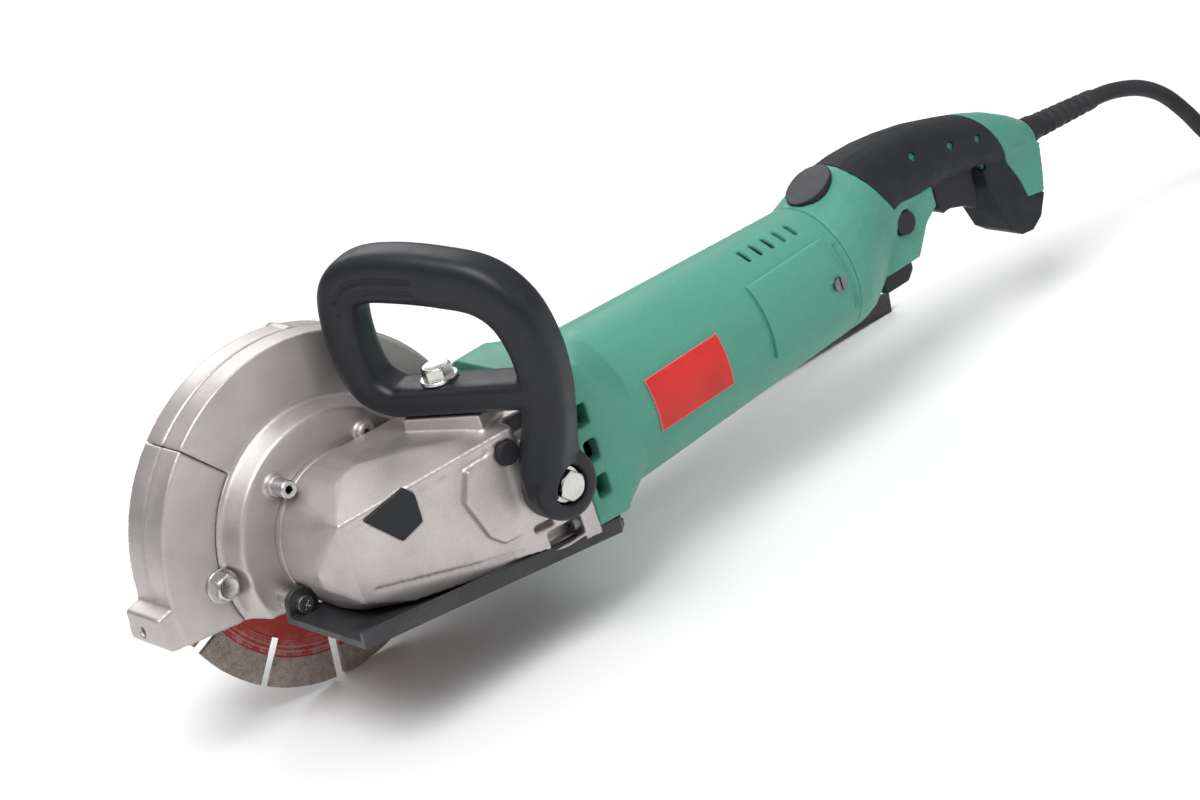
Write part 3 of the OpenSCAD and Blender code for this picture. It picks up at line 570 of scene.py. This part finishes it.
# ---------------------------------------------------------------- materials
class Paint:
    """One principled material, with small helpers for its nodes."""

    def __init__(self, name, metallic=0.0, roughness=0.5, specular=0.5, coat=0.0):
        self.mat = bpy.data.materials.new(name)
        self.mat.use_nodes = True
        self.tree = self.mat.node_tree
        self.shader = self.tree.nodes["Principled BSDF"]
        self.shader.inputs["Metallic"].default_value = metallic
        self.shader.inputs["Roughness"].default_value = roughness
        self.shader.inputs["Specular IOR Level"].default_value = specular
        self.shader.inputs["Coat Weight"].default_value = coat
        self.where = self.node("ShaderNodeTexCoord").outputs["Object"]

    def node(self, kind, **values):
        made = self.tree.nodes.new(kind)
        for key, value in values.items():
            setattr(made, key, value)
        return made

    def join(self, source, target):
        self.tree.links.new(source, target)

    def noise(self, scale, detail=3.0, rough=0.55, stretch=(1, 1, 1)):
        """Noise with about scale features to a metre."""
        mapping = self.node("ShaderNodeMapping")
        mapping.inputs["Scale"].default_value = stretch
        self.join(self.where, mapping.inputs["Vector"])
        made = self.node("ShaderNodeTexNoise")
        made.inputs["Scale"].default_value = scale
        made.inputs["Detail"].default_value = detail
        made.inputs["Roughness"].default_value = rough
        self.join(mapping.outputs["Vector"], made.inputs["Vector"])
        return made.outputs["Fac"]

    def cells(self, scale):
        """Distance to the nearest of scattered points, about scale of them to a metre."""
        made = self.node("ShaderNodeTexVoronoi")
        made.inputs["Scale"].default_value = scale
        self.join(self.where, made.inputs["Vector"])
        return made.outputs["Distance"]

    def ramp(self, fac, stops):
        """Colours or grey values at places from 0 to 1."""
        made = self.node("ShaderNodeValToRGB")
        ramp = made.color_ramp
        while len(ramp.elements) < len(stops):
            ramp.elements.new(0.5)
        for element, (place, value) in zip(ramp.elements, stops):
            element.position = place
            element.color = (*value, 1) if hasattr(value, "__len__") else (value, value, value, 1)
        self.join(fac, made.inputs["Fac"])
        return made.outputs["Color"]

    def mix(self, fac, a, b, blend="MIX"):
        """Blends two values, each a number, a colour or another node's output."""
        made = self.node("ShaderNodeMix", data_type="RGBA", blend_type=blend)
        for value, socket in ((fac, made.inputs["Factor"]), (a, made.inputs["A"]), (b, made.inputs["B"])):
            if hasattr(value, "links"):
                self.join(value, socket)
            elif hasattr(value, "__len__"):
                socket.default_value = (*value, 1)
            else:
                socket.default_value = value
        return made.outputs["Result"]

    def edges(self, radius, low=0.80, high=0.985):
        """1 on sharp convex and concave edges, 0 on open faces."""
        bevel = self.node("ShaderNodeBevel", samples=4)
        bevel.inputs["Radius"].default_value = radius * MM
        geometry = self.node("ShaderNodeNewGeometry")
        dot = self.node("ShaderNodeVectorMath", operation="DOT_PRODUCT")
        self.join(bevel.outputs["Normal"], dot.inputs[0])
        self.join(geometry.outputs["Normal"], dot.inputs[1])
        return self.ramp(dot.outputs["Value"], [(low, 1.0), (high, 0.0)])

    def colour(self, source):
        self.join(source, self.shader.inputs["Base Color"])

    def roughness(self, source):
        self.join(source, self.shader.inputs["Roughness"])

    def bumps(self, layers, round_edge=0.0):
        """layers is a list of (height, strength, distance in mm), stacked into the normal."""
        normal = None
        if round_edge:
            bevel = self.node("ShaderNodeBevel", samples=4)
            bevel.inputs["Radius"].default_value = round_edge * MM
            normal = bevel.outputs["Normal"]
        for height, strength, distance in layers:
            bump = self.node("ShaderNodeBump")
            bump.inputs["Strength"].default_value = strength
            bump.inputs["Distance"].default_value = distance * MM
            self.join(height, bump.inputs["Height"])
            if normal:
                self.join(normal, bump.inputs["Normal"])
            normal = bump.outputs["Normal"]
        self.join(normal, self.shader.inputs["Normal"])


def shade(value, low, high):
    """Two copies of a colour, darker and lighter."""
    return tuple(v * low for v in value), tuple(min(v * high, 1) for v in value)


def cast_metal():
    """Sprayed aluminium casting: fine sand grain, soft mottling, brighter rubbed edges."""
    p = Paint("cast", metallic=0.82, roughness=0.42)
    dark, light = shade((0.55, 0.515, 0.51), 0.88, 1.1)
    mottle = p.ramp(p.noise(38, 5, 0.6), [(0.3, dark), (0.7, light)])
    speck = p.ramp(p.noise(2600, 2, 0.6), [(0.30, (0.80, 0.79, 0.78)), (0.62, (1.0, 1.0, 1.0))])
    body = p.mix(1.0, mottle, speck, "MULTIPLY")
    p.colour(p.mix(p.edges(0.9), body, (0.74, 0.72, 0.70)))
    p.roughness(p.ramp(p.noise(70, 4), [(0.3, 0.36), (0.75, 0.54)]))
    p.bumps([(p.noise(1500, 3, 0.7), 0.25, 0.12), (p.noise(60, 3), 0.12, 0.3)], round_edge=0.8)
    return p.mat


def moulded_plastic(name, colour, rough, grain=0.22, rub=1.35):
    """Spark-textured moulding with faint flow marks and rubbed edges."""
    p = Paint(name, roughness=0.45, specular=0.33)
    dark, light = shade(colour, 0.9, 1.1)
    flow = p.ramp(p.noise(16, 4, 0.6, (0.4, 1, 1)), [(0.3, dark), (0.72, light)])
    speck = p.ramp(p.noise(1900, 2, 0.5), [(0.35, (0.9, 0.9, 0.9)), (0.65, (1.05, 1.05, 1.05))])
    body = p.mix(1.0, flow, speck, "MULTIPLY")
    rubbed = tuple(min(v * rub + 0.015, 1) for v in colour)
    p.colour(p.mix(p.edges(0.7), body, rubbed))
    p.roughness(p.ramp(p.noise(90, 5, 0.65), [(0.3, rough[0]), (0.75, rough[1])]))
    p.bumps([(p.cells(1400), grain, 0.08), (p.noise(420, 3), 0.1, 0.08)], round_edge=0.6)
    return p.mat


def rubber_skin(name, colour, scale=900):
    """Soft rubber: matt, pebbled, faint bloom."""
    p = Paint(name, roughness=0.62, specular=0.28)
    dark, light = shade(colour, 0.8, 1.35)
    bloom = p.ramp(p.noise(45, 5, 0.65), [(0.35, dark), (0.75, light)])
    p.colour(p.mix(p.edges(0.6), bloom, tuple(v * 1.9 for v in colour)))
    p.roughness(p.ramp(p.noise(110, 4), [(0.3, 0.52), (0.75, 0.72)]))
    p.bumps([(p.cells(scale), 0.3, 0.1), (p.noise(300, 3), 0.1, 0.1)], round_edge=0.5)
    return p.mat


def plated(name, colour, rough=(0.22, 0.4), tarnish=(0.45, 0.43, 0.38)):
    """Bright metal with fine turning or brush lines and light tarnish."""
    p = Paint(name, metallic=1.0, roughness=0.3)
    lines = p.noise(700, 3, 0.6, (1, 1, 14))
    dark, light = shade(colour, 0.82, 1.12)
    face = p.ramp(lines, [(0.3, dark), (0.7, light)])
    spots = p.ramp(p.noise(160, 5, 0.7), [(0.6, 0.0), (0.85, 0.55)])
    p.colour(p.mix(spots, face, tarnish))
    p.roughness(p.ramp(p.noise(240, 4), [(0.3, rough[0]), (0.75, rough[1])]))
    p.bumps([(lines, 0.15, 0.05)], round_edge=0.35)
    return p.mat


def laminated():
    """Stacked sheet iron: fine dark lines square to the shaft."""
    p = Paint("iron", metallic=0.85, roughness=0.45)
    wave = p.node("ShaderNodeTexWave", bands_direction="X")
    wave.inputs["Scale"].default_value = 320
    p.join(p.where, wave.inputs["Vector"])
    p.colour(p.ramp(wave.outputs["Fac"], [(0.1, (0.10, 0.10, 0.11)), (0.6, (0.36, 0.37, 0.39))]))
    p.roughness(p.ramp(p.noise(120), [(0.3, 0.35), (0.7, 0.6)]))
    p.bumps([(wave.outputs["Fac"], 0.4, 0.1)])
    return p.mat


def copper_wire():
    """Varnished winding wire, laid side by side."""
    p = Paint("copper", metallic=0.9, roughness=0.35)
    wave = p.node("ShaderNodeTexWave", bands_direction="DIAGONAL")
    wave.inputs["Scale"].default_value = 190
    wave.inputs["Distortion"].default_value = 2.5
    p.join(p.where, wave.inputs["Vector"])
    p.colour(p.ramp(wave.outputs["Fac"], [(0.15, (0.16, 0.06, 0.03)), (0.6, (0.72, 0.33, 0.16))]))
    p.roughness(p.ramp(p.noise(200), [(0.3, 0.28), (0.7, 0.5)]))
    p.bumps([(wave.outputs["Fac"], 0.5, 0.2)])
    return p.mat


def worn_red():
    """Blade core: red lacquer scuffed through to steel in rings round the spindle."""
    p = Paint("blade_red", metallic=0.25, roughness=0.42)
    shift = p.node("ShaderNodeVectorMath", operation="SUBTRACT")
    p.join(p.where, shift.inputs[0])
    shift.inputs[1].default_value = SPINDLE
    reach = p.node("ShaderNodeVectorMath", operation="LENGTH")
    p.join(shift.outputs["Vector"], reach.inputs[0])
    rings = p.node("ShaderNodeMath", operation="MULTIPLY")
    p.join(reach.outputs["Value"], rings.inputs[0])
    rings.inputs[1].default_value = 900
    swirl = p.node("ShaderNodeTexNoise", noise_dimensions="1D")
    swirl.inputs["Scale"].default_value = 1.0
    swirl.inputs["Detail"].default_value = 4
    p.join(rings.outputs["Value"], swirl.inputs["W"])
    red = p.ramp(p.noise(60, 5), [(0.3, (0.30, 0.016, 0.014)), (0.7, (0.46, 0.03, 0.022))])
    patch = p.mix(0.35, p.noise(85, 7, 0.75), swirl.outputs["Fac"])
    bare = p.ramp(patch, [(0.50, 0.0), (0.56, 1.0)])
    near_rim = p.ramp(reach.outputs["Value"], [(0.050, 0.0), (0.0615, 0.95)])
    worn = p.mix(1.0, bare, near_rim, "MULTIPLY")
    p.colour(p.mix(worn, red, (0.34, 0.27, 0.25)))
    p.roughness(p.ramp(p.noise(150, 4), [(0.3, 0.34), (0.7, 0.55)]))
    p.bumps([(worn, 0.25, 0.08), (swirl.outputs["Fac"], 0.12, 0.05)], round_edge=0.2)
    return p.mat


def segment_grit():
    """Sintered rim: warm grey metal full of pale and dark diamond grit."""
    p = Paint("segment", metallic=0.35, roughness=0.6)
    ground = p.ramp(p.noise(240, 6, 0.7), [(0.3, (0.20, 0.15, 0.13)), (0.7, (0.40, 0.33, 0.29))])
    grit = p.ramp(p.cells(1250), [(0.08, 1.0), (0.30, 0.0)])
    p.colour(p.mix(grit, ground, (0.62, 0.57, 0.52)))
    p.roughness(p.ramp(p.noise(500, 3), [(0.3, 0.5), (0.7, 0.8)]))
    p.bumps([(grit, 0.5, 0.15), (p.noise(900, 4), 0.35, 0.15)])
    return p.mat


def red_foil():
    """Printed label foil: glossy red with faint wrinkles and a thin pale border."""
    p = Paint("label", roughness=0.38, specular=0.3, coat=0.08)
    red = p.ramp(p.noise(45, 4), [(0.3, (0.47, 0.014, 0.012)), (0.7, (0.60, 0.022, 0.018))])
    p.colour(p.mix(p.edges(0.9, 0.6, 0.97), red, (0.62, 0.5, 0.45)))
    p.roughness(p.ramp(p.noise(130, 5), [(0.3, 0.32), (0.75, 0.5)]))
    p.bumps([(p.noise(110, 3), 0.12, 0.15), (p.noise(1200, 2), 0.06, 0.04)])
    return p.mat


def powder_coat():
    """Black powder coat: orange peel, chalky scuffs, bare steel at the edges."""
    p = Paint("black_paint", metallic=0.1, roughness=0.36, specular=0.5)
    black = p.ramp(p.noise(55, 5), [(0.3, (0.016, 0.016, 0.018)), (0.75, (0.034, 0.034, 0.038))])
    scuff = p.ramp(p.noise(34, 8, 0.75, (1, 3, 3)), [(0.60, 0.0), (0.74, 0.5)])
    body = p.mix(scuff, black, (0.12, 0.12, 0.125))
    p.colour(p.mix(p.edges(0.5, 0.5, 0.9), body, (0.13, 0.13, 0.135)))
    p.roughness(p.ramp(p.noise(120, 5), [(0.3, 0.28), (0.75, 0.5)]))
    p.bumps([(p.noise(650, 2), 0.16, 0.12)], round_edge=0.4)
    return p.mat


MATERIALS = {
    "cast": cast_metal(),
    "green_plastic": moulded_plastic("green_plastic", (0.075, 0.285, 0.21), rough=(0.36, 0.5)),
    "black_plastic": moulded_plastic("black_plastic", (0.011, 0.012, 0.015), rough=(0.4, 0.56), rub=2.2),
    "handle_black": moulded_plastic("handle_black", (0.011, 0.012, 0.016), rough=(0.34, 0.48), grain=0.35,
                                    rub=2.4),
    "soft_grip": rubber_skin("soft_grip", (0.013, 0.014, 0.017)),
    "rubber": rubber_skin("rubber", (0.022, 0.022, 0.025), scale=1300),
    "screw": plated("screw", (0.20, 0.20, 0.21), rough=(0.3, 0.5)),
    "zinc": plated("zinc", (0.60, 0.595, 0.57), rough=(0.2, 0.36), tarnish=(0.42, 0.40, 0.35)),
    "steel": plated("steel", (0.60, 0.60, 0.61)),
    "dark_steel": plated("dark_steel", (0.28, 0.28, 0.29), rough=(0.3, 0.46)),
    "bronze": plated("bronze", (0.60, 0.43, 0.22), tarnish=(0.35, 0.25, 0.14)),
    "brass": plated("brass", (0.78, 0.60, 0.28), tarnish=(0.5, 0.38, 0.2)),
    "carbon": moulded_plastic("carbon", (0.04, 0.04, 0.042), rough=(0.5, 0.7), grain=0.5),
    "iron": laminated(),
    "copper": copper_wire(),
    "blade_red": worn_red(),
    "segment": segment_grit(),
    "label": red_foil(),
    "black_paint": powder_coat(),
}
SLOT_OF = {s["node"]: s["material_slot"] for s in frame["record"]["subparts"]}


def dress(obj, slot):
    """Gives a piece or a CAD node the material of its slot."""
    obj.data.materials.clear()
    obj.data.materials.append(MATERIALS[slot])


# ---------------------------------------------------------------- camera, CAD nodes and cord
make_camera()
for node_name, node_obj in frame["nodes"].items():
    dress(node_obj, SLOT_OF[node_name])
mains_cord, cord_line = make_cord()
cord_tie = make_tie()
cord_sleeve = make_strain_relief()
for piece, slot_name in ((mains_cord, "rubber"), (cord_tie, "black_plastic"), (cord_sleeve, "rubber")):
    dress(piece, slot_name)


# ---------------------------------------------------------------- softened castings and mouldings
dress(rounded("gear_case", "gear_case_casting", 0.7, 4, cutters=casting_lines()), "cast")
dress(rounded("guard_main", "guard_main_casting", 0.8, 4), "cast")
dress(rounded("guard_front", "guard_front_casting", 0.8, 4, cutters=[rim_groove()]), "cast")
dress(rounded("guard_cover", "guard_cover_casting", 0.8, 4), "cast")
dress(rounded("motor_housing", "motor_housing_moulding", 0.8, 2, cutters=[rear_groove()]), "green_plastic")
dress(make_front_handle(), "handle_black")
dress(rounded("shell_near", "handle_shell_near", 0.6, 3), "green_plastic")
dress(rounded("shell_far", "handle_shell_far", 0.6, 3), "green_plastic")
dress(rounded("grip", "grip_overmould", 0.5, 3), "soft_grip")
dress(rounded("under_block", "under_block_moulding", 0.6, 8), "black_plastic")
dress(rounded("top_pad", "top_pad_moulding", 0.4, 4), "black_plastic")
dress(rounded("trigger", "trigger_moulding", 0.5, 14, body="trigger"), "black_plastic")
for piece, slot_name in make_fasteners():
    dress(piece, slot_name)
for node_name, width in (("bearing_box", 0.6), ("base_plate", 0.5), ("gear_inset", 0.5),
                         ("grease_plug", 0.6), ("lock_button", 0.8), ("plug", 1.6), ("plug_pins", 0.4),
                         ("brush_covers", 0.5)):
    soften(node_name, width)


# ---------------------------------------------------------------- studio
FLOOR_HALF = 9.0         # metres
LAMPS = (("key", (-0.9, -0.7, 2.1), 44, 1.3), ("fill", (1.6, -2.0, 0.9), 9, 2.2),
         ("rim", (0.6, 1.7, 1.5), 16, 1.4))              # name, place, watts and width in metres
LAMPS_AIM = Vector((0.05, 0, 0.08))


def make_world():
    """Light that fades from white overhead to dark grey at the horizon."""
    world = bpy.data.worlds.new("studio")
    bpy.context.scene.world = world
    world.use_nodes = True
    sky = world.node_tree.nodes["Background"]
    nodes, links = world.node_tree.nodes, world.node_tree.links
    way = nodes.new("ShaderNodeTexCoord")
    split = nodes.new("ShaderNodeSeparateXYZ")
    fade = nodes.new("ShaderNodeValToRGB")
    low, high = fade.color_ramp.elements
    low.position, low.color = 0.0, (0.16, 0.16, 0.17, 1)
    high.position, high.color = 0.85, (1, 1, 1, 1)
    links.new(way.outputs["Generated"], split.inputs["Vector"])
    links.new(split.outputs["Z"], fade.inputs["Fac"])
    links.new(fade.outputs["Color"], sky.inputs["Color"])
    sky.inputs["Strength"].default_value = 0.8


def make_floor():
    """White paper under the tool."""
    corners = [(x * FLOOR_HALF, y * FLOOR_HALF, 0) for x, y in ((-1, -1), (1, -1), (1, 1), (-1, 1))]
    floor = link("floor", mesh_from("floor", corners, [(0, 1, 2, 3)]), None, smooth=False)
    paper = Paint("paper", roughness=0.9, specular=0.1)
    paper.colour(paper.ramp(paper.noise(3, 3), [(0.3, (0.80, 0.80, 0.80)), (0.7, (0.84, 0.84, 0.84))]))
    paper.roughness(paper.ramp(paper.noise(40), [(0.3, 0.85), (0.7, 0.95)]))
    floor.data.materials.append(paper.mat)


def make_lamps():
    for name, place, power, width in LAMPS:
        data = bpy.data.lights.new(name, "AREA")
        data.energy, data.size = power, width
        lamp = bpy.data.objects.new(name, data)
        lamp.location = place
        lamp.rotation_mode = "QUATERNION"
        lamp.rotation_quaternion = (LAMPS_AIM - Vector(place)).to_track_quat("-Z", "Y")
        bpy.context.scene.collection.objects.link(lamp)


make_world()
make_floor()
make_lamps()
bpy.context.scene.view_settings.view_transform = "Standard"
